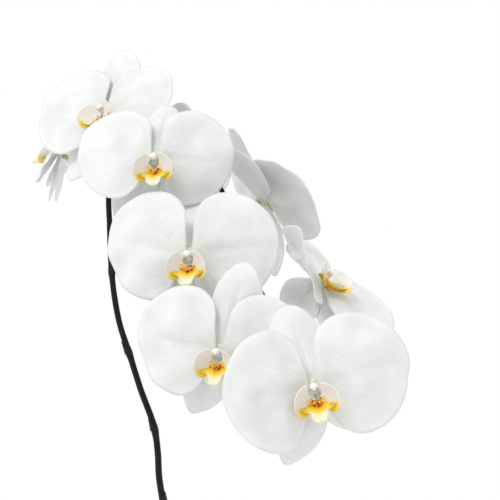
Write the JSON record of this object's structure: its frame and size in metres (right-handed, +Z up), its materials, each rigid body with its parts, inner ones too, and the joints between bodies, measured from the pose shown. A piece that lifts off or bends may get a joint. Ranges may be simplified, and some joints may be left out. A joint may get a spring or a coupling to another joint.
{
  "type": "potted orchid",
  "caption": "Moth orchid in a plain glazed pot: strap leaves and aerial roots over bark chips, and one tall arching spike of large white flowers with yellow lips.",
  "frame": {"origin": "centre of the pot's flat base, where the pot's axis meets the surface that it stands on", "axes": "+Z up along the pot's axis; -Y the front, which most of the flowers face; +X to the right as seen from the front, where the spike arches to"},
  "size_m": [0.3873, 0.2778, 0.5475],
  "materials": {
    "glazed_pot": "glossy white glaze",
    "liner_plastic": "satin dark grey nursery plastic",
    "bark_chips": "rough fir bark chips",
    "leaf_skin": "waxy dark green leaf",
    "root_skin": "dull silver-green root",
    "stem_skin": "smooth near-black stem",
    "petal_skin": "soft matt white petal",
    "lip_skin": "soft yellow and white lip",
    "column_skin": "smooth cream-white column"
  },
  "bodies": {
    "root": {"pot": "glazed_pot", "liner": "liner_plastic", "bark": "bark_chips", "crown": "leaf_skin", "leaf_1": "leaf_skin", "leaf_2": "leaf_skin", "leaf_3": "leaf_skin", "leaf_4": "leaf_skin", "leaf_5": "leaf_skin", "leaf_6": "leaf_skin", "aerial_root_1": "root_skin", "aerial_root_2": "root_skin", "aerial_root_3": "root_skin", "spike": "stem_skin", "flower_1_sepals": "petal_skin", "flower_1_petal_right": "petal_skin", "flower_1_petal_left": "petal_skin", "flower_1_column": "column_skin", "flower_1_lip": "lip_skin", "flower_2_sepals": "petal_skin", "flower_2_petal_right": "petal_skin", "flower_2_petal_left": "petal_skin", "flower_2_column": "column_skin", "flower_2_lip": "lip_skin", "flower_3_sepals": "petal_skin", "flower_3_petal_right": "petal_skin", "flower_3_petal_left": "petal_skin", "flower_3_column": "column_skin", "flower_3_lip": "lip_skin", "flower_4_sepals": "petal_skin", "flower_4_petal_right": "petal_skin", "flower_4_petal_left": "petal_skin", "flower_4_column": "column_skin", "flower_4_lip": "lip_skin", "flower_5_sepals": "petal_skin", "flower_5_petal_right": "petal_skin", "flower_5_petal_left": "petal_skin", "flower_5_column": "column_skin", "flower_5_lip": "lip_skin", "flower_6_sepals": "petal_skin", "flower_6_petal_right": "petal_skin", "flower_6_petal_left": "petal_skin", "flower_6_column": "column_skin", "flower_6_lip": "lip_skin", "flower_7_sepals": "petal_skin", "flower_7_petal_right": "petal_skin", "flower_7_petal_left": "petal_skin", "flower_7_column": "column_skin", "flower_7_lip": "lip_skin", "flower_8_sepals": "petal_skin", "flower_8_petal_right": "petal_skin", "flower_8_petal_left": "petal_skin", "flower_8_column": "column_skin", "flower_8_lip": "lip_skin", "flower_9_sepals": "petal_skin", "flower_9_petal_right": "petal_skin", "flower_9_petal_left": "petal_skin", "flower_9_column": "column_skin", "flower_9_lip": "lip_skin"}
  },
  "joints": []
}
